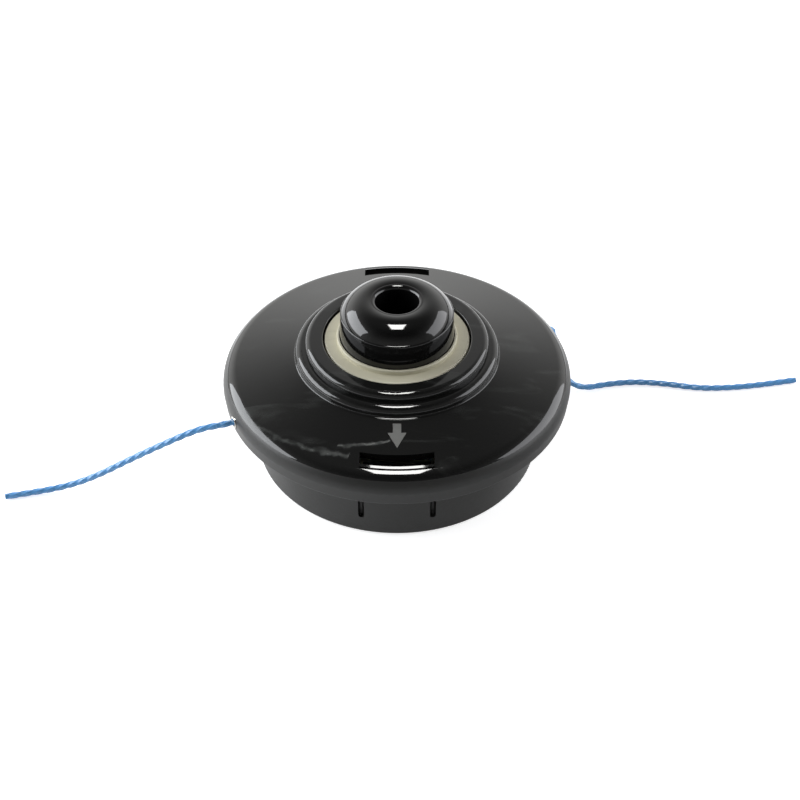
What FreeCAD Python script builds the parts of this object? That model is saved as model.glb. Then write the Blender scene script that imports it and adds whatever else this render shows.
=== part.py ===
import FreeCAD, Part
import math
import os

# Two-line trimmer head, standing on its drive face with the ground side up. Millimetres.
# The origin is the middle of the drive face and Z is the spin axis.

# Housing, the lower bowl
bowl_foot_radius = 53.3
bowl_wall = 2.4
bowl_draft = 0.0266
bowl_floor = 3.0
bowl_height = 33.5
bowl_foot_round = 1.6
floor_inside_round = 2.0
hub_radius = 9.0
hub_stand = 2.3
hub_bore_radius = 5.3
underside_pocket_depth = 1.2
underside_pocket_inner = 16.0
underside_pocket_outer = 46.0
underside_rib_count = 8
underside_rib_width = 2.2
locating_flange_drop = 6.2
locating_flange_thickness = 2.0

# Snap tongues, cut from the housing wall at the front and the back
tongue_spacing = 25.4
slit_width = 2.1
slit_depth = 14.7
nose_reach = 2.3
nose_height = 2.6
nose_tip_height = 0.7
nose_side_clearance = 0.4

# Cover, the wide upper shell
skirt_overlap = 7.2
skirt_foot_radius = 64.0
skirt_rim_radius = 65.0
cover_wall = 2.4
rim_round = 4.0
cover_slope = 0.198
collar_foot_radius = 37.4
collar_foot_rise = 8.6
collar_foot_round = 0.7
collar_lower_rise = 3.7
collar_lower_round = 2.6
collar_upper_radius = 33.6
collar_upper_round = 2.3
collar_upper_rise = 3.2
collar_bore_radius = 27.0
collar_bore_round = 0.6
collar_tube_wall = 2.4
catch_overlap = 1.5
cover_rib_width = 1.6
cover_rib_clearance = 3.7
cover_rib_angles = (10, 40, 70, 130, 160)

# Windows in the cover over the tongues, each with a raised lip outside it
window_rim_distance = 8.0
window_depth = 4.0
window_width = 25.5
lip_width = 2.3
lip_height = 0.5
lip_round = 0.4

# Arrow that points at the front window
arrow_tip_gap = 2.9
arrow_length = 10.4
arrow_head_length = 6.5
arrow_shaft_width = 2.95
arrow_head_width = 6.7
arrow_recess_depth = 0.4
arrow_fill_depth = 0.3

# Line and its two exits, half a turn apart
line_diameter = 2.4
exit_angle = 205.0
exit_drop = 2.5
eyelet_bore_radius = 1.5
eyelet_wall = 0.6
eyelet_lip_radius = 2.3
eyelet_lip_thickness = 0.7
eyelet_seat_depth = 0.35
exit_boss_radius = 4.2
exit_boss_length = 4.4
exit_notch_width = 6.0

# Spool and what turns with it
spool_rise = 9.0
spool_side_clearance = 1.4
spool_stand = 1.7
spool_core_radius = 24.0
spool_core_wall = 2.4
flange_thickness = 2.0
drive_turns_wide = 3
turn_fit = 0.1
wound_depth_free = 9.9
nose_cup_radius = 26.6
nose_cup_wall = 2.4
nose_cup_drop = 0.6
nose_plate = 2.0
boss_ring_outer = 22.0
boss_ring_height = 1.8
anchor_slot_width = 3.0
anchor_slot_depth = 6.0
thrust_washer_thickness = 1.0
thrust_washer_outer = 33.0
thrust_washer_fit = 0.5

# Ratchet: stops under the cover and on the floor, dogs on the spool
dog_count = 4
cover_stop_inner = 38.0
cover_stop_outer = 44.0
cover_stop_clearance = 0.5
ground_dog_height = 2.3
floor_stop_inner = 32.0
floor_stop_outer = 40.0
floor_stop_height = 2.7
drive_dog_height = 2.5
stop_angle = 10.0
dog_side_clearance = 0.3
release_turn = 22.0

# Bump knob
knob_foot_radius = 20.9
knob_shoulder_radius = 20.5
knob_side_height = 11.1
knob_edge_round = 0.45
knob_dome_height = 5.8
knob_dome_swell = 2.1
knob_lip_width = 1.8
knob_lip_drop = 1.4
knob_wall = 2.4
knob_bore_radius = 7.6
knob_sleeve_wall = 2.4
knob_sleeve_reach = 4.4
knob_roof_drop = 0.6
knob_seat_fit = 0.2
snap_leg_count = 4
snap_leg_inner = 15.2
snap_leg_thickness = 2.1
snap_leg_angle = 24.0
snap_hook_reach = 1.1
snap_hook_height = 1.8
snap_slot_margin_angle = 3.0

# Steel drive insert moulded into the hub, M10 x 1.25 left-hand
insert_across_flats = 13.0
insert_length = 26.0
thread_minor_radius = 4.33
insert_chamfer = 0.7

# Feed spring and its seats
spring_mean_radius = 12.2
spring_wire = 1.4
spring_turns = 6.5
seat_thickness = 0.8
seat_inner_radius = 10.0
seat_outer_radius = 14.6
cup_rim_height = 2.6

# Fits
running_gap = 0.3
sliding_fit = 0.1
seat_gap = 0.1

# Free line outside the exits: points laid by hand, from inside the eyelet to the cut end
left_tail_points = [
    (-51.7, -24.1, 31.0), (-60.3, -28.1, 31.0), (-70.6, -28.6, 29.3), (-84.0, -29.6, 22.8),
    (-97.5, -29.7, 15.0), (-110.8, -30.3, 7.2), (-121.5, -30.6, 2.6), (-132.5, -32.4, 1.3),
    (-144.4, -35.0, 1.25)]
right_tail_points = [
    (55.5, 25.9, 31.0), (60.0, 28.0, 31.0), (61.3, 30.0, 26.6), (62.7, 30.4, 20.0), (64.5, 28.6, 12.6),
    (67.9, 25.8, 5.8), (75.0, 26.2, 1.7), (84.6, 29.4, 1.25), (96.2, 31.0, 1.25), (109.2, 29.6, 1.25),
    (121.5, 26.8, 1.25), (134.6, 27.2, 1.25), (148.2, 29.2, 1.25), (161.4, 32.0, 1.25)]

# Worked out from the sizes above
V = FreeCAD.Vector
origin = V(0, 0, 0)
spin_axis = V(0, 0, 1)
line_radius = line_diameter / 2
exit_height = bowl_height - exit_drop
locating_flange_z = bowl_height - locating_flange_drop
slit_bottom_z = bowl_height - slit_depth
skirt_foot_z = bowl_height - skirt_overlap
collar_foot_z = bowl_height + collar_foot_rise
collar_lower_z = collar_foot_z + collar_lower_rise
collar_top_z = collar_lower_z + collar_upper_rise
window_outer_radius = skirt_rim_radius - window_rim_distance
window_inner_radius = window_outer_radius - window_depth
arrow_tip_radius = window_inner_radius - arrow_tip_gap
arrow_tail_radius = arrow_tip_radius - arrow_length
arrow_shoulder_radius = arrow_tip_radius - arrow_head_length
cover_rib_inner_radius = bowl_foot_radius + cover_rib_clearance
spool_foot_z = bowl_floor + spool_rise
spool_radius = bowl_foot_radius - bowl_wall - spool_side_clearance
wound_radius = spool_radius - wound_depth_free
drive_flange_top = spool_foot_z + flange_thickness
mid_flange_foot = drive_flange_top + drive_turns_wide * line_diameter + 2 * turn_fit
mid_flange_top = mid_flange_foot + flange_thickness
ground_flange_top = bowl_height + spool_stand
ground_flange_foot = ground_flange_top - flange_thickness
ground_turns_wide = math.floor((ground_flange_foot - mid_flange_top - 2 * turn_fit) / line_diameter + 0.001)
hub_height = ground_flange_top + hub_stand
nose_cup_top_z = collar_top_z - nose_cup_drop
knob_shoulder_z = nose_cup_top_z + knob_side_height
knob_dome_z = knob_shoulder_z + knob_dome_height
knob_dome_flat_radius = knob_bore_radius + knob_lip_width
knob_sleeve_foot_z = nose_cup_top_z - knob_sleeve_reach
thrust_washer_top = ground_flange_top + thrust_washer_thickness
collar_tube_foot = thrust_washer_top + running_gap
cover_stop_foot = ground_flange_top + cover_stop_clearance
knob_sleeve_outer = knob_bore_radius + knob_sleeve_wall
locating_flange_top = locating_flange_z + locating_flange_thickness
tongue_width = tongue_spacing - slit_width
snap_leg_outer = snap_leg_inner + snap_leg_thickness
far_out = 2 * max(skirt_foot_radius, skirt_rim_radius)
exit_angles = (exit_angle - 180, exit_angle)


def bowl_radius(z):
    return bowl_foot_radius + bowl_draft * z


def skirt_radius(z):
    rise = (z - skirt_foot_z) / (collar_foot_z - cover_slope * (skirt_rim_radius - collar_foot_radius) - skirt_foot_z)
    return skirt_foot_radius + rise * (skirt_rim_radius - skirt_foot_radius)


exit_boss_inner_radius = skirt_radius(exit_height) - cover_wall - exit_boss_length


def cover_top(radius):
    return collar_foot_z - cover_slope * (radius - collar_foot_radius)


def cover_underside(radius):
    return cover_top(radius) - cover_wall * math.hypot(1, cover_slope)


def via(r, z):
    return ("via", r, z)


# A closed outline of (r, z) corners; a third number rounds that corner, and via() bends a side
def outline_face(corners):
    ends = [c for c in corners if c[0] != "via"]
    places = [V(c[0], 0, c[1]) for c in ends]
    entries, exits, arcs = [], [], []
    for i, corner in enumerate(ends):
        here = places[i]
        if len(corner) < 3:
            entries.append(here)
            exits.append(here)
            arcs.append(None)
            continue
        back = (places[i - 1] - here).normalize()
        ahead = (places[(i + 1) % len(places)] - here).normalize()
        half = back.getAngle(ahead) / 2
        reach = corner[2] / math.tan(half)
        middle = here + (back + ahead).normalize() * (corner[2] / math.sin(half) - corner[2])
        entries.append(here + back * reach)
        exits.append(here + ahead * reach)
        arcs.append(middle)
    edges = []
    index = -1
    for k, corner in enumerate(corners):
        if corner[0] == "via":
            continue
        index += 1
        following = (index + 1) % len(places)
        if arcs[index] is not None:
            edges.append(Part.Arc(entries[index], arcs[index], exits[index]).toShape())
        bend = corners[(k + 1) % len(corners)]
        if bend[0] == "via":
            edges.append(Part.Arc(exits[index], V(bend[1], 0, bend[2]), entries[following]).toShape())
        elif exits[index].distanceToPoint(entries[following]) > 1e-6:
            edges.append(Part.LineSegment(exits[index], entries[following]).toShape())
    return Part.Face(Part.Wire(edges))


def turned(corners, angle=360):
    return outline_face(corners).revolve(origin, spin_axis, angle)


# Part of a ring, centred on an angle about the spin axis
def ring_sector(r_inner, r_outer, z_low, z_high, centre, width):
    sector = turned([(r_inner, z_low), (r_outer, z_low), (r_outer, z_high), (r_inner, z_high)], width)
    sector.rotate(origin, spin_axis, centre - width / 2)
    return sector


# A rod that points straight out from the spin axis
def radial_rod(radius, r_start, r_end, z, angle):
    rod = Part.makeCylinder(radius, r_end - r_start, V(r_start, 0, z), V(1, 0, 0))
    rod.rotate(origin, spin_axis, angle)
    return rod


def radial_bar(width, r_start, r_end, z_low, z_high, angle):
    bar = Part.makeBox(r_end - r_start, width, z_high - z_low, V(r_start, -width / 2, z_low))
    bar.rotate(origin, spin_axis, angle)
    return bar


# What lies within a strip either side of the Y axis, at the front and the back
def tongue_strip(width, z_low, z_high):
    return Part.makeBox(width, 2 * far_out, z_high - z_low, V(-width / 2, -far_out, z_low))


def evenly(count, first=0.0):
    return [first + 360.0 * k / count for k in range(count)]


def hexagon(across_flats, z_low, z_high):
    corner_radius = across_flats / math.sqrt(3)
    points = [V(corner_radius * math.cos(math.radians(a)), corner_radius * math.sin(math.radians(a)), z_low)
              for a in evenly(6) + [0.0]]
    return Part.Face(Part.makePolygon(points)).extrude(V(0, 0, z_high - z_low))


# The spool rests against the cover's stops, and pressed down it turns on until the floor's stops catch it
dog_angles = evenly(dog_count)
dog_side_angle = math.degrees(dog_side_clearance / cover_stop_inner)
cover_stop_angles = [a - stop_angle - dog_side_angle for a in dog_angles]
floor_stop_angles = [a - release_turn for a in cover_stop_angles]


def bowl_housing():
    rim_radius = bowl_radius(bowl_height)
    body = turned([
        (0, 0), (bowl_foot_radius, 0, bowl_foot_round), (rim_radius, bowl_height),
        (rim_radius - bowl_wall, bowl_height), (bowl_radius(bowl_floor) - bowl_wall, bowl_floor, floor_inside_round),
        (hub_radius, bowl_floor, 0.8), (hub_radius, hub_height, 0.6), (0, hub_height)])
    body = body.cut(Part.makeCylinder(hub_bore_radius, hub_height, V(0, 0, insert_length)))
    body = body.cut(hexagon(insert_across_flats, 0, insert_length))
    pocket = turned([
        (underside_pocket_inner, -1), (underside_pocket_outer, -1),
        (underside_pocket_outer, underside_pocket_depth), (underside_pocket_inner, underside_pocket_depth)])
    for angle in evenly(underside_rib_count):
        pocket = pocket.cut(radial_bar(underside_rib_width, 0, bowl_foot_radius, -2, bowl_floor, angle))
    body = body.cut(pocket)
    flange_radius = skirt_radius(locating_flange_z) - cover_wall - running_gap
    flange = turned([
        (bowl_foot_radius, locating_flange_z), (flange_radius, locating_flange_z),
        (flange_radius, locating_flange_top), (bowl_foot_radius, locating_flange_top)])
    flange = flange.cut(tongue_strip(tongue_spacing + slit_width, 0, collar_top_z))
    for angle in exit_angles:
        flange = flange.cut(radial_bar(2 * (exit_boss_radius + running_gap), bowl_radius(bowl_height),
                                       far_out, 0, collar_top_z, angle))
    body = body.fuse(flange)
    for side in (-1, 1):
        x = side * tongue_spacing / 2
        slit = Part.makeBox(slit_width, 2 * far_out, bowl_height,
                            V(x - slit_width / 2, -far_out, slit_bottom_z + slit_width / 2))
        slit = slit.fuse(Part.makeCylinder(slit_width / 2, 2 * far_out,
                                           V(x, -far_out, slit_bottom_z + slit_width / 2), V(0, 1, 0)))
        body = body.cut(slit.cut(Part.makeCylinder(spool_radius, 2 * bowl_height)))
    nose_foot = bowl_height - nose_height
    nose_tip = bowl_radius(nose_foot) + nose_reach
    nose = turned([
        (rim_radius - bowl_wall, nose_foot), (nose_tip, nose_foot), (nose_tip, nose_foot + nose_tip_height),
        (rim_radius, bowl_height), (rim_radius - bowl_wall, bowl_height)])
    body = body.fuse(nose.common(tongue_strip(tongue_width - 2 * nose_side_clearance, 0, collar_top_z)))
    for angle in exit_angles:
        notch = radial_rod(exit_notch_width / 2, spool_radius, bowl_radius(bowl_height) + 1, exit_height, angle)
        body = body.cut(notch).cut(radial_bar(exit_notch_width, spool_radius, bowl_radius(bowl_height) + 1,
                                              exit_height, bowl_height + 1, angle))
    for angle in floor_stop_angles:
        body = body.fuse(ring_sector(floor_stop_inner, floor_stop_outer, bowl_floor - 0.5,
                                     bowl_floor + floor_stop_height, angle, stop_angle))
    return body.removeSplitter()


def drive_insert():
    body = hexagon(insert_across_flats, 0, insert_length)
    body = body.cut(Part.makeCylinder(thread_minor_radius, insert_length))
    lead_in = Part.makeCone(thread_minor_radius + insert_chamfer, thread_minor_radius, insert_chamfer)
    return body.cut(lead_in)


def arrow_prism():
    half_shaft, half_head = arrow_shaft_width / 2, arrow_head_width / 2
    side = [(half_shaft, arrow_tail_radius), (half_shaft, arrow_shoulder_radius),
            (half_head, arrow_shoulder_radius), (0, arrow_tip_radius)]
    points = side + [(-x, r) for x, r in reversed(side[:-1])]
    places = [V(x, -r, 0) for x, r in points]
    return Part.Face(Part.makePolygon(places + places[:1])).extrude(V(0, 0, collar_top_z))


# A layer that follows the cone of the cover, between two depths below its surface
def cone_layer(depth_low, depth_high):
    r_start, r_end = arrow_tail_radius - 1, arrow_tip_radius + 1
    return turned([(r_start, cover_top(r_start) - depth_low), (r_end, cover_top(r_end) - depth_low),
                   (r_end, cover_top(r_end) - depth_high), (r_start, cover_top(r_start) - depth_high)])


def ground_cover():
    skirt_inner = skirt_foot_radius - cover_wall
    rim_inner = skirt_rim_radius - cover_wall
    tube_radius = collar_bore_radius + collar_tube_wall
    hollow_top = collar_top_z - cover_wall
    hollow_step = collar_lower_z - cover_wall
    upper_inner = collar_upper_radius - cover_wall
    lower_inner = collar_foot_radius - cover_wall
    body = turned([
        (skirt_foot_radius, skirt_foot_z, 0.5), (skirt_rim_radius, cover_top(skirt_rim_radius), rim_round),
        (collar_foot_radius, collar_foot_z, collar_foot_round),
        (collar_foot_radius, collar_lower_z, collar_lower_round), (collar_upper_radius, collar_lower_z),
        (collar_upper_radius, collar_top_z, collar_upper_round),
        (collar_bore_radius, collar_top_z, collar_bore_round), (collar_bore_radius, collar_tube_foot),
        (tube_radius, collar_tube_foot), (tube_radius, hollow_top, 0.5), (upper_inner, hollow_top, 0.5),
        (upper_inner, hollow_step), (lower_inner, hollow_step, 0.5), (lower_inner, cover_underside(lower_inner)),
        (rim_inner, cover_underside(rim_inner), rim_round - cover_wall), (skirt_inner, skirt_foot_z)])
    for angle in cover_stop_angles:
        body = body.fuse(ring_sector(cover_stop_inner, cover_stop_outer, cover_stop_foot,
                                     cover_underside(cover_stop_outer) + 0.6, angle, stop_angle))
    for angle in cover_rib_angles:
        for turn in (0, 180):
            body = body.fuse(radial_bar(cover_rib_width, cover_rib_inner_radius, rim_inner, locating_flange_top,
                                        cover_underside(rim_inner) + 0.8, angle + turn))
    nose_foot = bowl_height - nose_height
    catch_inner = bowl_radius(nose_foot) + nose_reach - catch_overlap
    catch = turned([
        (catch_inner, skirt_foot_z + 0.4), (skirt_inner + 1, skirt_foot_z + 0.4),
        (skirt_inner + 1, nose_foot - running_gap), (catch_inner, nose_foot - running_gap)])
    body = body.fuse(catch.common(tongue_strip(tongue_width - 2 * nose_side_clearance, 0, collar_top_z)))
    for angle in exit_angles:
        body = body.fuse(radial_rod(exit_boss_radius, exit_boss_inner_radius,
                                    skirt_radius(exit_height) - cover_wall / 2, exit_height, angle))
    window = turned([(window_inner_radius, bowl_height), (window_outer_radius, bowl_height),
                     (window_outer_radius, collar_top_z), (window_inner_radius, collar_top_z)])
    body = body.cut(window.common(tongue_strip(window_width, 0, collar_top_z)))
    lip_outer = window_outer_radius + lip_width
    lip = turned([
        (window_outer_radius, cover_top(window_outer_radius) - 1), (lip_outer, cover_top(lip_outer) - 1),
        (lip_outer, cover_top(lip_outer) + lip_height, lip_round),
        (window_outer_radius, cover_top(window_outer_radius) + lip_height, lip_round)])
    body = body.fuse(lip.common(tongue_strip(window_width, 0, collar_top_z)))
    for angle in exit_angles:
        seat = skirt_radius(exit_height) - eyelet_seat_depth
        body = body.cut(radial_rod(eyelet_bore_radius + eyelet_wall, exit_boss_inner_radius - 1,
                                   far_out, exit_height, angle))
        body = body.cut(radial_rod(eyelet_lip_radius + seat_gap, seat, far_out, exit_height, angle))
    body = body.cut(arrow_prism().common(cone_layer(arrow_recess_depth, -1)))
    return body.removeSplitter()


def arrow_mark():
    return arrow_prism().common(cone_layer(arrow_recess_depth, arrow_recess_depth - arrow_fill_depth))


def eyelet(angle):
    seat = skirt_radius(exit_height) - eyelet_seat_depth
    inner = exit_boss_inner_radius - eyelet_wall
    barrel = eyelet_bore_radius + eyelet_wall
    face = outline_face([
        (eyelet_bore_radius, 0), (barrel, 0), (barrel, seat - inner), (eyelet_lip_radius, seat - inner),
        (eyelet_lip_radius, seat - inner + eyelet_lip_thickness, 0.3),
        (eyelet_bore_radius, seat - inner + eyelet_lip_thickness, 0.3)])
    body = face.revolve(origin, spin_axis, 360)
    body.rotate(origin, V(0, 1, 0), 90)
    body.translate(V(inner, 0, exit_height))
    body.rotate(origin, spin_axis, angle)
    return body


def line_spool():
    core_inner = spool_core_radius - spool_core_wall
    cup_inner = nose_cup_radius - nose_cup_wall
    plate_foot = nose_cup_top_z - nose_plate
    web_foot = ground_flange_top - flange_thickness
    ring_inner = knob_foot_radius + knob_seat_fit
    sleeve_hole = knob_sleeve_outer + knob_seat_fit
    body = turned([
        (core_inner, spool_foot_z), (spool_radius, spool_foot_z, 0.5), (spool_radius, drive_flange_top, 0.5),
        (spool_core_radius, drive_flange_top), (spool_core_radius, mid_flange_foot),
        (spool_radius, mid_flange_foot, 0.5), (spool_radius, mid_flange_top, 0.5),
        (spool_core_radius, mid_flange_top), (spool_core_radius, ground_flange_foot),
        (spool_radius, ground_flange_foot, 0.5), (spool_radius, ground_flange_top, 0.5),
        (nose_cup_radius, ground_flange_top), (nose_cup_radius, nose_cup_top_z, 0.9),
        (boss_ring_outer, nose_cup_top_z), (boss_ring_outer, nose_cup_top_z + boss_ring_height, 0.5),
        (ring_inner, nose_cup_top_z + boss_ring_height), (ring_inner, nose_cup_top_z),
        (sleeve_hole, nose_cup_top_z), (sleeve_hole, plate_foot), (cup_inner, plate_foot, 1.2),
        (cup_inner, ground_flange_top, 0.5), (hub_radius + sliding_fit, ground_flange_top),
        (hub_radius + sliding_fit, web_foot), (core_inner, web_foot, 0.8)])
    for angle in dog_angles:
        body = body.fuse(ring_sector(cover_stop_inner + running_gap, cover_stop_outer - running_gap,
                                     ground_flange_top - 0.5, ground_flange_top + ground_dog_height,
                                     angle, stop_angle))
        body = body.fuse(ring_sector(floor_stop_inner, floor_stop_outer, spool_foot_z - drive_dog_height,
                                     spool_foot_z + 0.5, angle, stop_angle))
    for angle in evenly(2, first=90):
        body = body.cut(radial_bar(anchor_slot_width, spool_radius - anchor_slot_depth, spool_radius + 1,
                                   mid_flange_foot - 0.1, mid_flange_top + 0.1, angle))
    for angle in evenly(snap_leg_count, first=45):
        body = body.cut(ring_sector(snap_leg_inner - knob_seat_fit, snap_leg_outer + knob_seat_fit, plate_foot - 1,
                                    nose_cup_top_z + 1, angle, snap_leg_angle + 2 * snap_slot_margin_angle))
    return body.removeSplitter()


# One row of turns after another, each bulging by half the line
def wound_line(z_low, turns_wide):
    corners = [(spool_core_radius + turn_fit, z_low)]
    crown = wound_radius - line_radius
    for k in range(turns_wide):
        z = z_low + k * line_diameter
        corners += [(crown, z), via(wound_radius, z + line_radius)]
    top = z_low + turns_wide * line_diameter
    corners += [(crown, top), (spool_core_radius + turn_fit, top)]
    return turned(corners)


def thrust_washer():
    inner = nose_cup_radius + thrust_washer_fit
    return turned([(inner, ground_flange_top), (thrust_washer_outer, ground_flange_top),
                   (thrust_washer_outer, thrust_washer_top, 0.3), (inner, thrust_washer_top, 0.3)])


def bump_knob():
    inner_wall = knob_foot_radius - knob_wall
    roof = knob_dome_z - knob_wall
    edge = knob_edge_round
    dome_foot_radius = knob_shoulder_radius - edge
    dome_foot_z = knob_shoulder_z + edge
    bend_radius = (dome_foot_radius + knob_dome_flat_radius) / 2
    bend_z = (dome_foot_z + knob_dome_z) / 2
    run = math.hypot(dome_foot_radius - knob_dome_flat_radius, knob_dome_z - dome_foot_z)
    swell_out = knob_dome_swell * (knob_dome_z - dome_foot_z) / run
    swell_up = knob_dome_swell * (dome_foot_radius - knob_dome_flat_radius) / run
    body = turned([
        (knob_foot_radius, nose_cup_top_z), (knob_shoulder_radius, knob_shoulder_z - edge / 2),
        via(knob_shoulder_radius - 0.25 * edge, knob_shoulder_z + 0.55 * edge), (dome_foot_radius, dome_foot_z),
        via(bend_radius + swell_out, bend_z + swell_up), (knob_dome_flat_radius, knob_dome_z),
        via(knob_bore_radius + 0.28 * knob_lip_width, knob_dome_z - 0.28 * knob_lip_drop),
        (knob_bore_radius, knob_dome_z - knob_lip_drop),
        (knob_bore_radius, knob_sleeve_foot_z), (knob_sleeve_outer, knob_sleeve_foot_z),
        (knob_sleeve_outer, roof, 0.8), (inner_wall - knob_wall, roof - knob_roof_drop, 1.0),
        (inner_wall, knob_shoulder_z - knob_wall / 2, 1.0), (inner_wall, nose_cup_top_z)])
    hook_top = nose_cup_top_z - nose_plate - knob_seat_fit
    for angle in evenly(snap_leg_count, first=45):
        leg = ring_sector(snap_leg_inner, snap_leg_outer, knob_sleeve_foot_z, roof - 0.2, angle, snap_leg_angle)
        hook = ring_sector(snap_leg_outer - 0.3, snap_leg_outer + snap_hook_reach, hook_top - snap_hook_height,
                           hook_top, angle, snap_leg_angle)
        body = body.fuse(leg.common(knob_envelope())).fuse(hook)
    return body.removeSplitter()


# Keeps the legs inside the roof of the knob
def knob_envelope():
    return turned([(0, 0), (knob_foot_radius, 0), (knob_shoulder_radius - 0.5, knob_shoulder_z),
                   (knob_dome_flat_radius, knob_dome_z - 0.5), (0, knob_dome_z - 0.5)])


def spring_cup():
    top = bowl_floor + seat_thickness
    return turned([
        (seat_inner_radius, bowl_floor), (seat_outer_radius, bowl_floor, 0.4),
        (seat_outer_radius, bowl_floor + cup_rim_height), (seat_outer_radius - seat_thickness, bowl_floor + cup_rim_height),
        (seat_outer_radius - seat_thickness, top), (seat_inner_radius, top)])


def spring_washer():
    top = ground_flange_top - flange_thickness - seat_gap
    return turned([(seat_inner_radius, top - seat_thickness), (seat_outer_radius, top - seat_thickness),
                   (seat_outer_radius, top), (seat_inner_radius, top)])


def feed_spring():
    low = bowl_floor + seat_thickness + seat_gap
    high = ground_flange_top - flange_thickness - seat_thickness - 2 * seat_gap
    pitch = (high - low) / spring_turns
    helix = Part.makeHelix(pitch, high - low, spring_mean_radius)
    section = Part.Wire(Part.makeCircle(spring_wire / 2, V(spring_mean_radius, 0, 0), V(0, 1, 0)))
    coil = Part.Wire(helix).makePipeShell([section], True, True)
    coil.translate(V(0, 0, low))
    ground_ends = Part.makeCylinder(2 * spring_mean_radius, high - low, V(0, 0, low))
    return coil.common(ground_ends)


# A tube of straight runs joined by tangent arcs, as large as the runs allow
def line_tail(name, points):
    places = [V(*p) for p in points]
    runs = [places[i + 1] - places[i] for i in range(len(places) - 1)]
    edges, radii = [], []
    start = places[0]
    for i in range(1, len(places) - 1):
        turn = runs[i - 1].getAngle(runs[i])
        reach = 0.45 * min(runs[i - 1].Length, runs[i].Length)
        radius = reach / math.tan(turn / 2)
        back = (places[i - 1] - places[i]).normalize()
        ahead = (places[i + 1] - places[i]).normalize()
        entry, leave = places[i] + back * reach, places[i] + ahead * reach
        middle = places[i] + (back + ahead).normalize() * (radius / math.cos(turn / 2) - radius)
        edges += [Part.LineSegment(start, entry).toShape(), Part.Arc(entry, middle, leave).toShape()]
        start = leave
        radii.append(radius)
    edges.append(Part.LineSegment(start, places[-1]).toShape())
    path = Part.Wire(edges)
    section = Part.Wire(Part.makeCircle(line_radius, places[0], runs[0]))
    tube = path.makePipeShell([section], True, True)
    expected = math.pi * line_radius ** 2 * path.Length
    print(name, "length", round(path.Length, 1), "volume ratio", round(tube.Volume / expected, 4),
          "bend radii", [round(r, 1) for r in radii])
    return tube


nodes = {
    "bowl_housing": bowl_housing(),
    "drive_insert": drive_insert(),
    "ground_cover": ground_cover(),
    "arrow_mark": arrow_mark(),
    "eyelet_left": eyelet(exit_angles[1]),
    "eyelet_right": eyelet(exit_angles[0]),
    "line_spool": line_spool(),
    "wound_line_drive_side": wound_line(drive_flange_top + turn_fit, drive_turns_wide),
    "wound_line_ground_side": wound_line(mid_flange_top + turn_fit, ground_turns_wide),
    "thrust_washer": thrust_washer(),
    "bump_knob": bump_knob(),
    "spring_cup": spring_cup(),
    "spring_washer": spring_washer(),
    "feed_spring": feed_spring(),
    "line_tail_left": line_tail("line_tail_left", left_tail_points),
    "line_tail_right": line_tail("line_tail_right", right_tail_points),
}

os.makedirs("parts", exist_ok=True)
for name, shape in nodes.items():
    solids = shape.Solids
    if len(solids) == 1:
        shape = solids[0]
    print(name, "solids", len(solids), "valid", shape.isValid(), "volume", round(shape.Volume))
    shape.exportStep("parts/" + name + ".step")
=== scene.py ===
import bpy
import math
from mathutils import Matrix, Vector


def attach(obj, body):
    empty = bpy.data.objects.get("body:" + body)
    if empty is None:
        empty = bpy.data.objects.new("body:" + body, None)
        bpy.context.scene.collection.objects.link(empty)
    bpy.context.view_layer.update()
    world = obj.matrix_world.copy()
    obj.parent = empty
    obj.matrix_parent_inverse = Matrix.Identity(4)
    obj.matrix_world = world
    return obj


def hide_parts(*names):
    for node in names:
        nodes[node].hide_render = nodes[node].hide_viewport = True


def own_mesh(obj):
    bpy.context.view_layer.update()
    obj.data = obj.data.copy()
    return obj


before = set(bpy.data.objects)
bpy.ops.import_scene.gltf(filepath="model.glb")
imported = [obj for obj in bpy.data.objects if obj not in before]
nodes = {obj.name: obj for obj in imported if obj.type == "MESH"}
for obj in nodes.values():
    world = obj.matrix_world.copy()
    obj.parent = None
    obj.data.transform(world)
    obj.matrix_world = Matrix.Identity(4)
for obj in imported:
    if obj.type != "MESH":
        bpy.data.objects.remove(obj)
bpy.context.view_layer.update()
mm = 0.001
weldGap = 0.001 * mm
softCrease = 30  # degrees
print("frame loaded:", len(nodes), "nodes")


# Small helpers

def clearSelection():
    for thing in bpy.context.selected_objects:
        thing.select_set(False)


def makeActive(thing):
    clearSelection()
    thing.select_set(True)
    bpy.context.view_layer.objects.active = thing


# Camera: the head seen from the front and above, a little left of the middle of the picture
cameraView = {
    "distance": 0.5254,
    "elevation": 42.232,
    "lens": 60.84,
    "shiftX": 0.00375,
    "shiftY": 0.0441,
    "sensor": 36,
    "nearest": 0.01,
}


def addCamera(view):
    tilt = math.radians(view["elevation"])
    place = (0, -view["distance"] * math.cos(tilt), view["distance"] * math.sin(tilt))
    bpy.ops.object.camera_add(location=place, rotation=(math.pi / 2 - tilt, 0, 0))
    camera = bpy.context.object
    camera.name = "photoCamera"
    camera.data.sensor_width = view["sensor"]
    camera.data.lens = view["lens"]
    camera.data.shift_x = view["shiftX"]
    camera.data.shift_y = view["shiftY"]
    camera.data.clip_start = view["nearest"]
    bpy.context.scene.camera = camera


addCamera(cameraView)


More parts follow.
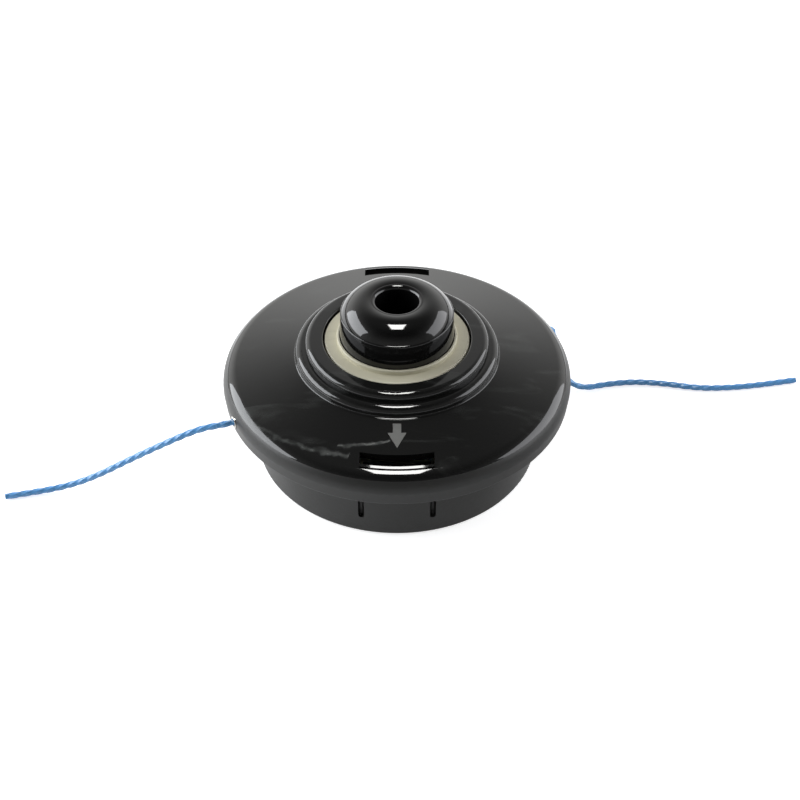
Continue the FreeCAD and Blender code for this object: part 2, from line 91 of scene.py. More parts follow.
# The two free ends of the line: square line, twisted, along the same routes as the solids
lineShape = {
    "diameter": 2.4 * mm,
    "cornerRound": 0.34,
    "cornerSegments": 4,
    "crease": 50,
    "twistPitch": 17.4 * mm,
    "stepsPerRun": 40,
}
leftRoute = [
    (-51.7, -24.1, 31.0), (-60.3, -28.1, 31.0), (-70.6, -28.6, 29.3), (-84.0, -29.6, 22.8),
    (-97.5, -29.7, 15.0), (-110.8, -30.3, 7.2), (-121.5, -30.6, 2.6), (-132.5, -32.4, 1.3),
    (-144.4, -35.0, 1.25)]
rightRoute = [
    (55.5, 25.9, 31.0), (60.0, 28.0, 31.0), (61.3, 30.0, 26.6), (62.7, 30.4, 20.0), (64.5, 28.6, 12.6),
    (67.9, 25.8, 5.8), (75.0, 26.2, 1.7), (84.6, 29.4, 1.25), (96.2, 31.0, 1.25), (109.2, 29.6, 1.25),
    (121.5, 26.8, 1.25), (134.6, 27.2, 1.25), (148.2, 29.2, 1.25), (161.4, 32.0, 1.25)]


def routeCurve(name, route):
    curve = bpy.data.curves.new(name, "CURVE")
    curve.dimensions = "3D"
    spline = curve.splines.new("NURBS")
    spline.points.add(len(route) - 1)
    for point, place in zip(spline.points, route):
        point.co = (place[0] * mm, place[1] * mm, place[2] * mm, 1)
    spline.order_u = 3
    spline.use_endpoint_u = True
    spline.resolution_u = lineShape["stepsPerRun"]
    thing = bpy.data.objects.new(name, curve)
    bpy.context.scene.collection.objects.link(thing)
    return thing


def centreline(thing):
    mesh = bpy.data.meshes.new_from_object(thing)
    points = [vertex.co.copy() for vertex in mesh.vertices]
    bpy.data.meshes.remove(mesh)
    return points


# A rounded square whose corners reach the line's full radius
def squareSection():
    half = lineShape["diameter"] / 2
    clearSelection()
    bpy.ops.mesh.primitive_circle_add(vertices=4, radius=half, fill_type="NOTHING")
    section = bpy.context.object
    bpy.ops.object.mode_set(mode="EDIT")
    bpy.ops.mesh.select_all(action="SELECT")
    bpy.ops.mesh.bevel(offset=half * lineShape["cornerRound"], segments=lineShape["cornerSegments"],
                       affect="VERTICES")
    bpy.ops.object.mode_set(mode="OBJECT")
    bpy.ops.object.convert(target="CURVE")
    widest = max(Vector(point.co[:2]).length for point in section.data.splines[0].points)
    for point in section.data.splines[0].points:
        point.co = (point.co[0] * half / widest, point.co[1] * half / widest, 0, 1)
    return section


def twistedLine(name, route, node):
    thing = routeCurve(name, route)
    path = centreline(thing)
    lengths = [0.0]
    for k in range(1, len(route)):
        lengths.append(lengths[-1] + (Vector(route[k]) - Vector(route[k - 1])).length * mm)
    for point, run in zip(thing.data.splines[0].points, lengths):
        point.tilt = -2 * math.pi * run / lineShape["twistPitch"]  # a left-hand twist
    section = squareSection()
    thing.data.bevel_mode = "OBJECT"
    thing.data.bevel_object = section
    thing.data.use_fill_caps = True
    makeActive(thing)
    bpy.ops.object.convert(target="MESH")
    bpy.data.objects.remove(section)
    bpy.ops.object.shade_smooth_by_angle(angle=math.radians(lineShape["crease"]))
    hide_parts(node)
    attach(thing, "housing")
    return thing


lineLeft = twistedLine("twistedLineLeft", leftRoute, "line_tail_left")
lineRight = twistedLine("twistedLineRight", rightRoute, "line_tail_right")
print("lines done")


# A copy of a solid's mesh, welded, for work that the solid itself doesn't take
def finishedCopy(name, node):
    thing = nodes[node].copy()
    thing.data = nodes[node].data.copy()
    thing.name = name
    thing.parent = None
    bpy.context.scene.collection.objects.link(thing)
    makeActive(thing)
    bpy.ops.object.mode_set(mode="EDIT")
    bpy.ops.mesh.select_all(action="SELECT")
    bpy.ops.mesh.remove_doubles(threshold=weldGap)
    bpy.ops.object.mode_set(mode="OBJECT")
    bpy.ops.mesh.customdata_custom_splitnormals_clear()
    return thing


def applyBoolean(thing, cutter, operation):
    makeActive(thing)
    change = thing.modifiers.new("change", "BOOLEAN")
    change.operation = operation
    change.solver = "EXACT"
    change.object = cutter
    bpy.ops.object.modifier_apply(modifier=change.name)
    bpy.data.objects.remove(cutter)


# Smooth faces up to the given crease, each corner led by its widest face
def smoothFaces(thing, crease):
    makeActive(thing)
    bpy.ops.object.shade_smooth_by_angle(angle=math.radians(crease))
    weighted = thing.modifiers.new("weighted", "WEIGHTED_NORMAL")
    weighted.keep_sharp = True
    bpy.ops.object.modifier_apply(modifier=weighted.name)


# The bowl: its snap tongues are cut free further down than in the solid, as far as they show
slitShape = {
    "spacing": 25.5 * mm, "width": 2.1 * mm, "foot": 7.7 * mm, "top": 24.0 * mm,
    "inner": 49.8 * mm, "outer": 58.0 * mm, "round": 1.0 * mm, "roundSegments": 5,
}


def slitCutter(shape, side, end):
    clearSelection()
    middle = (side * shape["spacing"] / 2, end * (shape["inner"] + shape["outer"]) / 2,
              (shape["foot"] + shape["top"]) / 2)
    bpy.ops.mesh.primitive_cube_add(size=1, location=middle)
    cutter = bpy.context.object
    cutter.scale = (shape["width"], shape["outer"] - shape["inner"], shape["top"] - shape["foot"])
    bpy.ops.object.transform_apply(location=True, rotation=True, scale=True)
    edges = cutter.modifiers.new("edges", "BEVEL")
    edges.width = shape["round"]
    edges.segments = shape["roundSegments"]
    bpy.ops.object.modifier_apply(modifier=edges.name)
    return cutter


def bowlWithSlits():
    bowl = finishedCopy("slitBowl", "bowl_housing")
    for side in (-1, 1):
        for end in (-1, 1):
            applyBoolean(bowl, slitCutter(slitShape, side, end), "DIFFERENCE")
    smoothFaces(bowl, softCrease)
    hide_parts("bowl_housing")
    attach(bowl, "housing")
    return bowl


# The cover: its rim is turned down to a wide round, and "clear" keeps the cut off the faces beside it
rimShape = {
    "foot": Vector((64.0, 0, 26.3)) * mm, "corner": Vector((65.0, 0, 36.635)) * mm,
    "collar": Vector((37.4, 0, 42.1)) * mm, "round": 6.5 * mm, "arcSteps": 18, "turnSteps": 320,
    "clear": 0.5 * mm, "clearRun": 3.0 * mm, "low": 20.0 * mm, "high": 70.0 * mm, "wide": 68.0 * mm,
}


# Outline of everything that may stay, from the axis outwards and up round the rim
def rimOutline(shape):
    back = (shape["foot"] - shape["corner"]).normalized()
    ahead = (shape["collar"] - shape["corner"]).normalized()
    half = back.angle(ahead) / 2
    centre = shape["corner"] + (back + ahead).normalized() * shape["round"] / math.sin(half)
    reach = shape["round"] / math.tan(half)
    start, finish = shape["corner"] + back * reach, shape["corner"] + ahead * reach
    first, last = start - centre, finish - centre
    turn = first.angle(last)
    arc = []
    for k in range(shape["arcSteps"] + 1):
        share = k / shape["arcSteps"]
        near, far = math.sin((1 - share) * turn), math.sin(share * turn)
        arc.append(centre + (first * near + last * far) / math.sin(turn))
    outwards = Vector((1, 0, 0)) * shape["clear"]
    upwards = Vector((0, 0, 1)) * shape["clear"]
    lead = start + back * shape["clearRun"] + outwards
    leave = finish + ahead * shape["clearRun"] + upwards
    return [Vector((0, 0, shape["low"])), Vector((shape["wide"], 0, shape["low"])),
            Vector((shape["wide"], 0, lead.z)), lead] + arc + [
            leave, Vector((leave.x, 0, shape["high"])), Vector((0, 0, shape["high"]))]


def spunSolid(name, outline, steps):
    clearSelection()
    bpy.ops.mesh.primitive_plane_add(size=mm)
    thing = bpy.context.object
    thing.name = name
    bpy.ops.object.mode_set(mode="EDIT")
    bpy.ops.mesh.select_all(action="SELECT")
    bpy.ops.mesh.merge(type="CENTER")
    bpy.ops.transform.translate(value=outline[0])
    for here, following in zip(outline, outline[1:]):
        bpy.ops.mesh.extrude_region_move(TRANSFORM_OT_translate={"value": following - here})
    bpy.ops.object.mode_set(mode="OBJECT")
    turn = thing.modifiers.new("turn", "SCREW")
    turn.steps = turn.render_steps = steps
    turn.use_merge_vertices = True
    turn.merge_threshold = weldGap
    bpy.ops.object.modifier_apply(modifier=turn.name)
    bpy.ops.object.mode_set(mode="EDIT")
    bpy.ops.mesh.select_all(action="SELECT")
    bpy.ops.mesh.normals_make_consistent(inside=False)
    bpy.ops.object.mode_set(mode="OBJECT")
    return thing


# Each window reaches a little further out than in the solid, and a fine groove follows its outer edge
windowShape = {
    "width": 25.5 * mm, "steps": 320, "high": 45.0 * mm, "reach": 3,
    "cuts": ({"inner": 56.5 * mm, "outer": 57.9 * mm, "foot": 34.6 * mm},
             {"inner": 58.75 * mm, "outer": 59.35 * mm, "foot": 37.3 * mm}),
}


# Two arcs of a ring, at the front and the back
def windowCutter(shape, cut):
    outline = [Vector((cut["inner"], 0, cut["foot"])), Vector((cut["outer"], 0, cut["foot"])),
               Vector((cut["outer"], 0, shape["high"])), Vector((cut["inner"], 0, shape["high"]))]
    ring = spunSolid("windowRing", outline + outline[:1], shape["steps"])
    clearSelection()
    bpy.ops.mesh.primitive_cube_add(size=1)
    strip = bpy.context.object
    strip.scale = (shape["width"], shape["reach"] * cut["outer"], shape["reach"] * shape["high"])
    bpy.ops.object.transform_apply(location=True, rotation=True, scale=True)
    applyBoolean(ring, strip, "INTERSECT")
    return ring


def coverWithWideRim():
    cover = finishedCopy("wideRimCover", "ground_cover")
    applyBoolean(cover, spunSolid("rimGauge", rimOutline(rimShape), rimShape["turnSteps"]), "INTERSECT")
    for cut in windowShape["cuts"]:
        applyBoolean(cover, windowCutter(windowShape, cut), "DIFFERENCE")
    smoothFaces(cover, softCrease)
    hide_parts("ground_cover")
    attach(cover, "housing")
    return cover


def pressedSpring():
    spring = finishedCopy("feedCoil", "feed_spring")
    smoothFaces(spring, softCrease)
    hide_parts("feed_spring")
    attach(spring, "housing")
    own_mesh(spring)
    return spring


bowl = bowlWithSlits()
cover = coverWithWideRim()
spring = pressedSpring()
for piece in (bowl, cover, spring):
    piece.data.calc_loop_triangles()
    print(piece.name, "triangles", len(piece.data.loop_triangles))


# Effects shared by the materials, as node groups

def newGroup(name, inputs, outputs):
    group = bpy.data.node_groups.new(name, "ShaderNodeTree")
    for label, kind, value in inputs:
        socket = group.interface.new_socket(name=label, in_out="INPUT", socket_type=kind)
        socket.default_value = value
    for label, kind in outputs:
        group.interface.new_socket(name=label, in_out="OUTPUT", socket_type=kind)
    return group, group.nodes.new("NodeGroupInput"), group.nodes.new("NodeGroupOutput")


def addNode(tree, kind, **settings):
    node = tree.nodes.new(kind)
    for key, value in settings.items():
        setattr(node, key, value)
    return node


skinPattern = {
    "scale": 400.0, "spread": 0.05, "fineDetail": 3, "broadScale": 45, "broadDetail": 4, "middle": 0.5,
}


# Fine moulded skin: a faint orange-peel height and a little unevenness in the gloss
def mouldedSkinGroup(pattern):
    group, inside, outside = newGroup(
        "mouldedSkin",
        [("Scale", "NodeSocketFloat", pattern["scale"]),
         ("Gloss spread", "NodeSocketFloat", pattern["spread"])],
        [("Height", "NodeSocketFloat"), ("Gloss offset", "NodeSocketFloat")])
    place = addNode(group, "ShaderNodeTexCoord")
    fine = addNode(group, "ShaderNodeTexNoise")
    fine.inputs["Detail"].default_value = pattern["fineDetail"]
    broad = addNode(group, "ShaderNodeTexNoise")
    broad.inputs["Scale"].default_value = pattern["broadScale"]
    broad.inputs["Detail"].default_value = pattern["broadDetail"]
    centred = addNode(group, "ShaderNodeMath", operation="SUBTRACT")
    centred.inputs[1].default_value = pattern["middle"]
    spread = addNode(group, "ShaderNodeMath", operation="MULTIPLY")
    link = group.links.new
    link(place.outputs["Object"], fine.inputs["Vector"])
    link(place.outputs["Object"], broad.inputs["Vector"])
    link(inside.outputs["Scale"], fine.inputs["Scale"])
    link(broad.outputs["Fac"], centred.inputs[0])
    link(centred.outputs[0], spread.inputs[0])
    link(inside.outputs["Gloss spread"], spread.inputs[1])
    link(fine.outputs["Fac"], outside.inputs["Height"])
    link(spread.outputs[0], outside.inputs["Gloss offset"])
    return group


smearPattern = {
    "amount": 0.5, "scale": 30.0, "turn": 0.5, "streak": 3.2, "detail": 5, "distortion": 1.2,
    "keepFrom": 0.56, "keepTo": 0.72,
}


# Greasy smears left by handling: streaky patches, as a mask
def handlingSmearGroup(pattern):
    group, inside, outside = newGroup(
        "handlingSmears",
        [("Amount", "NodeSocketFloat", pattern["amount"]), ("Scale", "NodeSocketFloat", pattern["scale"])],
        [("Mask", "NodeSocketFloat")])
    place = addNode(group, "ShaderNodeTexCoord")
    stretch = addNode(group, "ShaderNodeMapping")
    stretch.inputs["Rotation"].default_value = (0, 0, pattern["turn"])
    stretch.inputs["Scale"].default_value = (1.0, pattern["streak"], 1.0)
    patches = addNode(group, "ShaderNodeTexNoise")
    patches.inputs["Detail"].default_value = pattern["detail"]
    patches.inputs["Distortion"].default_value = pattern["distortion"]
    keep = addNode(group, "ShaderNodeMapRange")
    keep.inputs["From Min"].default_value = pattern["keepFrom"]
    keep.inputs["From Max"].default_value = pattern["keepTo"]
    amount = addNode(group, "ShaderNodeMath", operation="MULTIPLY")
    link = group.links.new
    link(place.outputs["Object"], stretch.inputs["Vector"])
    link(stretch.outputs[0], patches.inputs["Vector"])
    link(inside.outputs["Scale"], patches.inputs["Scale"])
    link(patches.outputs["Fac"], keep.inputs["Value"])
    link(keep.outputs[0], amount.inputs[0])
    link(inside.outputs["Amount"], amount.inputs[1])
    link(amount.outputs[0], outside.inputs["Mask"])
    return group


trailPattern = {
    "radius": 0.0514, "drift": 0.0107, "halfWidth": 0.0014, "fromAngle": 0.25, "toAngle": 1.2,
    "wanderScale": 160, "wanderDetail": 4, "sway": 0.003,
    "patchScale": 300, "patchDetail": 5, "patchFrom": 0.38, "patchTo": 0.62, "patchLeast": 0.4,
}


# A dull trail left by a wiped finger: a wavy band that runs round the axis and drifts outwards, as a mask
def wipedTrailGroup(pattern):
    group, inside, outside = newGroup(
        "wipedTrail",
        [("Radius", "NodeSocketFloat", pattern["radius"]), ("Drift", "NodeSocketFloat", pattern["drift"]),
         ("Half width", "NodeSocketFloat", pattern["halfWidth"]),
         ("From angle", "NodeSocketFloat", pattern["fromAngle"]),
         ("To angle", "NodeSocketFloat", pattern["toAngle"])],
        [("Mask", "NodeSocketFloat")])
    link = group.links.new
    place = addNode(group, "ShaderNodeTexCoord")
    parts = addNode(group, "ShaderNodeSeparateXYZ")
    flat = addNode(group, "ShaderNodeCombineXYZ")
    radius = addNode(group, "ShaderNodeVectorMath", operation="LENGTH")
    ahead = addNode(group, "ShaderNodeMath", operation="MULTIPLY")
    ahead.inputs[1].default_value = -1
    aside = addNode(group, "ShaderNodeMath", operation="MULTIPLY")
    aside.inputs[1].default_value = -1
    angle = addNode(group, "ShaderNodeMath", operation="ARCTAN2")
    link(place.outputs["Object"], parts.inputs[0])
    link(parts.outputs["X"], flat.inputs["X"])
    link(parts.outputs["Y"], flat.inputs["Y"])
    link(flat.outputs[0], radius.inputs[0])
    link(parts.outputs["X"], aside.inputs[0])
    link(parts.outputs["Y"], ahead.inputs[0])
    link(aside.outputs[0], angle.inputs[0])
    link(ahead.outputs[0], angle.inputs[1])
    middle = addNode(group, "ShaderNodeMath", operation="MULTIPLY_ADD")
    link(angle.outputs[0], middle.inputs[0])
    link(inside.outputs["Drift"], middle.inputs[1])
    link(inside.outputs["Radius"], middle.inputs[2])
    wander = addNode(group, "ShaderNodeTexNoise")
    wander.inputs["Scale"].default_value = pattern["wanderScale"]
    wander.inputs["Detail"].default_value = pattern["wanderDetail"]
    link(place.outputs["Object"], wander.inputs["Vector"])
    sway = addNode(group, "ShaderNodeMapRange")
    sway.inputs["To Min"].default_value = -pattern["sway"]
    sway.inputs["To Max"].default_value = pattern["sway"]
    link(wander.outputs["Fac"], sway.inputs["Value"])
    offset = addNode(group, "ShaderNodeMath", operation="SUBTRACT")
    link(radius.outputs["Value"], offset.inputs[0])
    link(middle.outputs[0], offset.inputs[1])
    swayed = addNode(group, "ShaderNodeMath", operation="ADD")
    link(offset.outputs[0], swayed.inputs[0])
    link(sway.outputs[0], swayed.inputs[1])
    far = addNode(group, "ShaderNodeMath", operation="ABSOLUTE")
    link(swayed.outputs[0], far.inputs[0])
    band = addNode(group, "ShaderNodeMapRange", interpolation_type="SMOOTHSTEP")
    band.inputs["To Min"].default_value = 1
    band.inputs["To Max"].default_value = 0
    link(far.outputs[0], band.inputs["Value"])
    link(inside.outputs["Half width"], band.inputs["From Max"])
    past = addNode(group, "ShaderNodeMath", operation="GREATER_THAN")
    before = addNode(group, "ShaderNodeMath", operation="LESS_THAN")
    link(angle.outputs[0], past.inputs[0])
    link(inside.outputs["From angle"], past.inputs[1])
    link(angle.outputs[0], before.inputs[0])
    link(inside.outputs["To angle"], before.inputs[1])
    patchy = addNode(group, "ShaderNodeTexNoise")
    patchy.inputs["Scale"].default_value = pattern["patchScale"]
    patchy.inputs["Detail"].default_value = pattern["patchDetail"]
    link(place.outputs["Object"], patchy.inputs["Vector"])
    share = addNode(group, "ShaderNodeMapRange")
    share.inputs["From Min"].default_value = pattern["patchFrom"]
    share.inputs["From Max"].default_value = pattern["patchTo"]
    share.inputs["To Min"].default_value = pattern["patchLeast"]
    link(patchy.outputs["Fac"], share.inputs["Value"])
    mask = band.outputs[0]
    for factor in (past.outputs[0], before.outputs[0], share.outputs[0]):
        product = addNode(group, "ShaderNodeMath", operation="MULTIPLY")
        link(mask, product.inputs[0])
        link(factor, product.inputs[1])
        mask = product.outputs[0]
    link(mask, outside.inputs["Mask"])
    return group


# Where the cover changes from its polished top to its satin skirt, as a mask
def satinSkirtGroup():
    group, inside, outside = newGroup(
        "satinSkirt",
        [("Edge height", "NodeSocketFloat", 0.0358), ("Inner radius", "NodeSocketFloat", 0.060)],
        [("Mask", "NodeSocketFloat")])
    link = group.links.new
    place = addNode(group, "ShaderNodeTexCoord")
    parts = addNode(group, "ShaderNodeSeparateXYZ")
    flat = addNode(group, "ShaderNodeCombineXYZ")
    radius = addNode(group, "ShaderNodeVectorMath", operation="LENGTH")
    low = addNode(group, "ShaderNodeMath", operation="LESS_THAN")
    outer = addNode(group, "ShaderNodeMath", operation="GREATER_THAN")
    both = addNode(group, "ShaderNodeMath", operation="MULTIPLY")
    link(place.outputs["Object"], parts.inputs[0])
    link(parts.outputs["X"], flat.inputs["X"])
    link(parts.outputs["Y"], flat.inputs["Y"])
    link(flat.outputs[0], radius.inputs[0])
    link(parts.outputs["Z"], low.inputs[0])
    link(inside.outputs["Edge height"], low.inputs[1])
    link(radius.outputs["Value"], outer.inputs[0])
    link(inside.outputs["Inner radius"], outer.inputs[1])
    link(low.outputs[0], both.inputs[0])
    link(outer.outputs[0], both.inputs[1])
    link(both.outputs[0], outside.inputs["Mask"])
    return group


mouldedSkin = mouldedSkinGroup(skinPattern)
satinSkirt = satinSkirtGroup()
handlingSmears = handlingSmearGroup(smearPattern)
wipedTrail = wipedTrailGroup(trailPattern)


def newMaterial(name):
    material = bpy.data.materials.new(name)
    material.use_nodes = True
    shader = material.node_tree.nodes["Principled BSDF"]
    return material, material.node_tree, shader


def placeGroup(tree, group, **values):
    node = tree.nodes.new("ShaderNodeGroup")
    node.node_tree = group
    for label, value in values.items():
        node.inputs[label.replace("_", " ")].default_value = value
    return node


plasticBumpDepth = 0.2 * mm


# Moulded plastic: base colour with smears and trails, gloss with unevenness, a faint skin in the normal
def mouldedPlastic(name, look):
    material, tree, shader = newMaterial(name)
    link = tree.links.new
    skin = placeGroup(tree, mouldedSkin, Scale=look["skinScale"], Gloss_spread=look["glossSpread"])
    smears = placeGroup(tree, handlingSmears, Amount=look["smears"], Scale=look["smearScale"])
    dulled = smears.outputs["Mask"]
    for trail in look.get("trails", ()):
        wiped = placeGroup(tree, wipedTrail, **trail)
        strongest = addNode(tree, "ShaderNodeMath", operation="MAXIMUM")
        link(dulled, strongest.inputs[0])
        link(wiped.outputs["Mask"], strongest.inputs[1])
        dulled = strongest.outputs[0]
    tint = addNode(tree, "ShaderNodeMix", data_type="RGBA")
    tint.inputs["A"].default_value = (*look["colour"], 1)
    tint.inputs["B"].default_value = (*look["smearColour"], 1)
    link(dulled, tint.inputs["Factor"])
    rough = addNode(tree, "ShaderNodeMath", operation="ADD")
    rough.inputs[1].default_value = look["roughness"]
    link(skin.outputs["Gloss offset"], rough.inputs[0])
    smearRough = addNode(tree, "ShaderNodeMath", operation="MULTIPLY_ADD")
    smearRough.inputs[1].default_value = look["smearRoughness"]
    link(dulled, smearRough.inputs[0])
    link(rough.outputs[0], smearRough.inputs[2])
    colourOut, roughOut = tint.outputs["Result"], smearRough.outputs[0]
    if "skirt" in look:
        satin = placeGroup(tree, satinSkirt, Edge_height=look["skirt"]["edgeHeight"],
                           Inner_radius=look["skirt"]["innerRadius"])
        skirtTint = addNode(tree, "ShaderNodeMix", data_type="RGBA")
        skirtTint.inputs["B"].default_value = (*look["skirt"]["colour"], 1)
        skirtRough = addNode(tree, "ShaderNodeMix", data_type="FLOAT")
        skirtRough.inputs["B"].default_value = look["skirt"]["roughness"]
        link(satin.outputs["Mask"], skirtTint.inputs["Factor"])
        link(satin.outputs["Mask"], skirtRough.inputs["Factor"])
        link(colourOut, skirtTint.inputs["A"])
        link(roughOut, skirtRough.inputs["A"])
        colourOut, roughOut = skirtTint.outputs["Result"], skirtRough.outputs["Result"]
    link(colourOut, shader.inputs["Base Color"])
    link(roughOut, shader.inputs["Roughness"])
    bump = addNode(tree, "ShaderNodeBump")
    bump.inputs["Strength"].default_value = look["bump"]
    bump.inputs["Distance"].default_value = plasticBumpDepth
    link(skin.outputs["Height"], bump.inputs["Height"])
    link(bump.outputs[0], shader.inputs["Normal"])
    shader.inputs["IOR"].default_value = look["ior"]
    return material


coverLook = {
    "colour": (0.0075, 0.0075, 0.0072), "smearColour": (0.048, 0.051, 0.048), "roughness": 0.05,
    "glossSpread": 0.03, "skinScale": 300, "bump": 0.04, "smears": 0.5, "smearScale": 26,
    "smearRoughness": 0.25, "ior": 1.5,
    "trails": (
        {"Radius": 0.0514, "Drift": 0.0107, "Half_width": 0.0016, "From_angle": 0.3, "To_angle": 1.2},
        {"Radius": 0.0462, "Drift": 0.0155, "Half_width": 0.0013, "From_angle": 0.05, "To_angle": 0.4}),
    "skirt": {
        "edgeHeight": 0.0358, "innerRadius": 0.060, "colour": (0.014, 0.014, 0.013), "roughness": 0.42},
}
knobLook = dict(coverLook, colour=(0.004, 0.004, 0.004), roughness=0.06, smears=0.1)
del knobLook["skirt"], knobLook["trails"]
bowlLook = {
    "colour": (0.013, 0.013, 0.012), "smearColour": (0.022, 0.022, 0.021), "roughness": 0.42,
    "glossSpread": 0.10, "skinScale": 900, "bump": 0.25, "smears": 0.25, "smearScale": 18,
    "smearRoughness": 0.1, "ior": 1.48,
}
# The arrow's light grey colour is a painted reflection: it stands in for the bright backdrop that the arrow's
# flat top mirrors.
arrowPaintedReflectionLook = {
    "colour": (0.084, 0.085, 0.080), "smearColour": (0.12, 0.12, 0.115), "roughness": 0.45,
    "glossSpread": 0.1, "skinScale": 1500, "bump": 0.3, "smears": 0.3, "smearScale": 200,
    "smearRoughness": 0.1, "ior": 1.45,
}
spoolLook = {
    "colour": (0.56, 0.53, 0.40), "smearColour": (0.44, 0.41, 0.30), "roughness": 0.38,
    "glossSpread": 0.12, "skinScale": 700, "bump": 0.15, "smears": 0.4, "smearScale": 60,
    "smearRoughness": 0.15, "ior": 1.5,
}
lineLook = {
    "colour": (0.11, 0.34, 0.70), "smearColour": (0.26, 0.58, 0.88), "roughness": 0.26,
    "glossSpread": 0.1, "skinScale": 1200, "bump": 0.1, "smears": 0.5, "smearScale": 400,
    "smearRoughness": 0.1, "ior": 1.52,
}
metalLook = {
    "colour": (0.55, 0.55, 0.56), "roughness": 0.28, "grainScale": 900, "grain": 0.12,
    "bump": 0.1, "bumpDepth": 0.1 * mm,
}
eyeletLook = dict(metalLook, colour=(0.42, 0.41, 0.39), roughness=0.25)


# Plated steel with a fine drawn grain
def platedSteel(name, look):
    material, tree, shader = newMaterial(name)
    link = tree.links.new
    skin = placeGroup(tree, mouldedSkin, Scale=look["grainScale"], Gloss_spread=look["grain"])
    rough = addNode(tree, "ShaderNodeMath", operation="ADD")
    rough.inputs[1].default_value = look["roughness"]
    link(skin.outputs["Gloss offset"], rough.inputs[0])
    link(rough.outputs[0], shader.inputs["Roughness"])
    bump = addNode(tree, "ShaderNodeBump")
    bump.inputs["Strength"].default_value = look["bump"]
    bump.inputs["Distance"].default_value = look["bumpDepth"]
    link(skin.outputs["Height"], bump.inputs["Height"])
    link(bump.outputs[0], shader.inputs["Normal"])
    shader.inputs["Base Color"].default_value = (*look["colour"], 1)
    shader.inputs["Metallic"].default_value = 1
    return material


coverBlack = mouldedPlastic("coverBlack", coverLook)
knobBlack = mouldedPlastic("knobBlack", knobLook)
bowlBlack = mouldedPlastic("bowlBlack", bowlLook)
arrowPaintedReflection = mouldedPlastic("arrowPaintedReflection", arrowPaintedReflectionLook)
naturalNylon = mouldedPlastic("naturalNylon", spoolLook)
lineBlue = mouldedPlastic("lineBlue", lineLook)
springSteel = platedSteel("springSteel", metalLook)
eyeletMetal = platedSteel("eyeletMetal", eyeletLook)

finishOf = {
    "bowl_housing": bowlBlack, "ground_cover": coverBlack, "arrow_mark": arrowPaintedReflection,
    "line_spool": naturalNylon, "bump_knob": knobBlack,
    "wound_line_drive_side": lineBlue, "wound_line_ground_side": lineBlue,
    "eyelet_left": eyeletMetal, "eyelet_right": eyeletMetal, "thrust_washer": springSteel,
    "spring_cup": springSteel, "spring_washer": springSteel, "feed_spring": springSteel,
    "drive_insert": springSteel, "line_tail_left": lineBlue, "line_tail_right": lineBlue,
}


def giveFinish(thing, material):
    thing.data.materials.clear()
    thing.data.materials.append(material)


for nodeName, material in finishOf.items():
    giveFinish(nodes[nodeName], material)
for piece, material in ((lineLeft, lineBlue), (lineRight, lineBlue), (bowl, bowlBlack), (cover, coverBlack),
                        (spring, springSteel)):
    giveFinish(piece, material)
print("materials done")


# Floor and light
# The floor's glow for glossy rays is painted light: it is brighter to the left and behind, standing in for
# lamp light on the floor where the object mirrors it.
floorLook = {
    "size": 6.0, "colour": 0.80, "roughness": 0.9, "specular": 0.0,
    "glow": 0.70, "paintedMirrorGlow": 0.62, "paintedMirrorSlope": (-3.5, 5.0, 0.0),
}


def addFloor(look):
    clearSelection()
    bpy.ops.mesh.primitive_plane_add(size=look["size"], location=(0, 0, 0))
    floor = bpy.context.object
    floor.name = "floor"
    material, tree, shader = newMaterial("floorWhite")
    link = tree.links.new
    shader.inputs["Base Color"].default_value = (look["colour"],) * 3 + (1,)
    shader.inputs["Roughness"].default_value = look["roughness"]
    shader.inputs["Specular IOR Level"].default_value = look["specular"]
    rays = addNode(tree, "ShaderNodeLightPath")
    place = addNode(tree, "ShaderNodeTexCoord")
    # Painted light for reflections: a glow that rises towards the left and the back, seen only by glossy
    # rays.
    slope = addNode(tree, "ShaderNodeVectorMath", operation="DOT_PRODUCT")
    slope.inputs[1].default_value = look["paintedMirrorSlope"]
    level = addNode(tree, "ShaderNodeMath", operation="ADD", use_clamp=True)
    level.inputs[1].default_value = look["paintedMirrorGlow"]
    link(place.outputs["Object"], slope.inputs[0])
    link(slope.outputs["Value"], level.inputs[0])
    paintedMirrorLight = addNode(tree, "ShaderNodeMath", operation="MULTIPLY")
    link(level.outputs[0], paintedMirrorLight.inputs[1])
    glow = addNode(tree, "ShaderNodeMath", operation="MULTIPLY_ADD")
    glow.inputs[1].default_value = look["glow"]
    link(rays.outputs["Is Glossy Ray"], paintedMirrorLight.inputs[0])
    link(rays.outputs["Is Camera Ray"], glow.inputs[0])
    link(paintedMirrorLight.outputs[0], glow.inputs[2])
    shader.inputs["Emission Color"].default_value = (1, 1, 1, 1)
    link(glow.outputs[0], shader.inputs["Emission Strength"])
    floor.data.materials.append(material)


# One box over the head for its highlights alone, and one box on each side
lampLook = {
    "topBox": {
        "place": (0.0, 0.06, 1.02), "target": (0, -0.05, 0.04), "size": (0.25, 0.38),
        "power": 7.4, "colour": (1, 1, 0.97), "highlightsOnly": True},
    "leftBox": {
        "place": (-0.85, 0.15, 0.45), "target": (0, 0, 0.04), "size": (1.0, 0.54),
        "power": 10.2, "colour": (0.93, 0.96, 1.0), "highlightsOnly": False},
    "rightBox": {
        "place": (0.85, 0.15, 0.45), "target": (0, 0, 0.04), "size": (1.0, 0.54),
        "power": 5.2, "colour": (0.95, 0.96, 1.0), "highlightsOnly": False},
}


def addLamp(name, look):
    clearSelection()
    bpy.ops.object.light_add(type="AREA", location=look["place"])
    lamp = bpy.context.object
    lamp.name = name
    lamp.data.shape = "RECTANGLE"
    lamp.data.size, lamp.data.size_y = look["size"]
    lamp.data.energy = look["power"]
    lamp.data.color = look["colour"]
    lamp.rotation_euler = (Vector(look["target"]) - Vector(look["place"])).to_track_quat("-Z", "Y").to_euler()
    lamp.visible_diffuse = not look["highlightsOnly"]


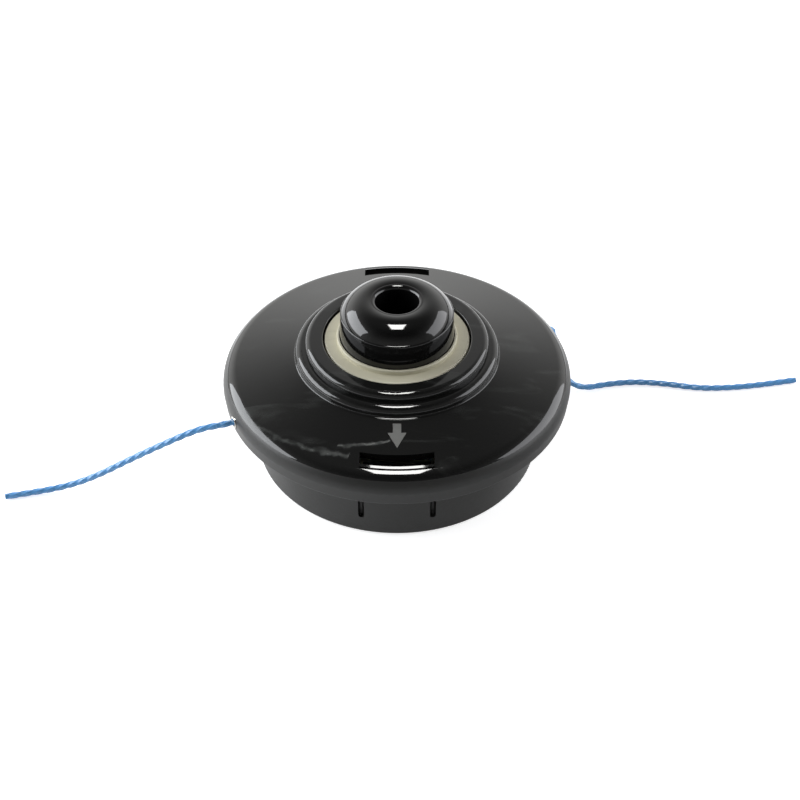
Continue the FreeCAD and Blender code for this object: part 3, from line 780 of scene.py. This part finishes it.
# Studio surroundings: bright low down and behind, dark overhead, in front and below the horizon
skyLook = {
    "low": 1.42, "high": 0.12, "fadeFrom": 0.25, "fadeTo": 0.9, "front": 0.22, "left": 1.15, "right": 0.9,
    "horizonFade": (0.0, 0.06), "frontFade": (-0.6, 0.3), "sideFade": (-0.8, 0.8),
    "colour": (1.0, 1.0, 0.985),
}


def fadeAlong(tree, value, fromRange, toRange):
    fade = addNode(tree, "ShaderNodeMapRange", interpolation_type="SMOOTHSTEP")
    for label, number in zip(("From Min", "From Max", "To Min", "To Max"), fromRange + toRange):
        fade.inputs[label].default_value = number
    tree.links.new(value, fade.inputs["Value"])
    return fade.outputs[0]


def addSky(look):
    world = bpy.data.worlds.new("studioSky")
    bpy.context.scene.world = world
    world.use_nodes = True
    tree = world.node_tree
    link = tree.links.new
    sky = tree.nodes["Background"]
    place = addNode(tree, "ShaderNodeTexCoord")
    parts = addNode(tree, "ShaderNodeSeparateXYZ")
    link(place.outputs["Generated"], parts.inputs[0])
    strength = fadeAlong(
        tree, parts.outputs["Z"], (look["fadeFrom"], look["fadeTo"]), (look["low"], look["high"]))
    for value, fromRange, toRange in (
            (parts.outputs["Z"], look["horizonFade"], (0.0, 1.0)),
            (parts.outputs["Y"], look["frontFade"], (look["front"], 1.0)),
            (parts.outputs["X"], look["sideFade"], (look["left"], look["right"]))):
        product = addNode(tree, "ShaderNodeMath", operation="MULTIPLY")
        link(strength, product.inputs[0])
        link(fadeAlong(tree, value, fromRange, toRange), product.inputs[1])
        strength = product.outputs[0]
    rays = addNode(tree, "ShaderNodeLightPath")
    seen = addNode(tree, "ShaderNodeMix", data_type="FLOAT")
    seen.inputs["B"].default_value = 1.0
    link(rays.outputs["Is Camera Ray"], seen.inputs["Factor"])
    link(strength, seen.inputs["A"])
    link(seen.outputs["Result"], sky.inputs["Strength"])
    sky.inputs["Color"].default_value = (*look["colour"], 1)


addFloor(floorLook)
addSky(skyLook)
for lampName, look in lampLook.items():
    addLamp(lampName, look)
bpy.context.scene.view_settings.view_transform = "Standard"
print("stage done")
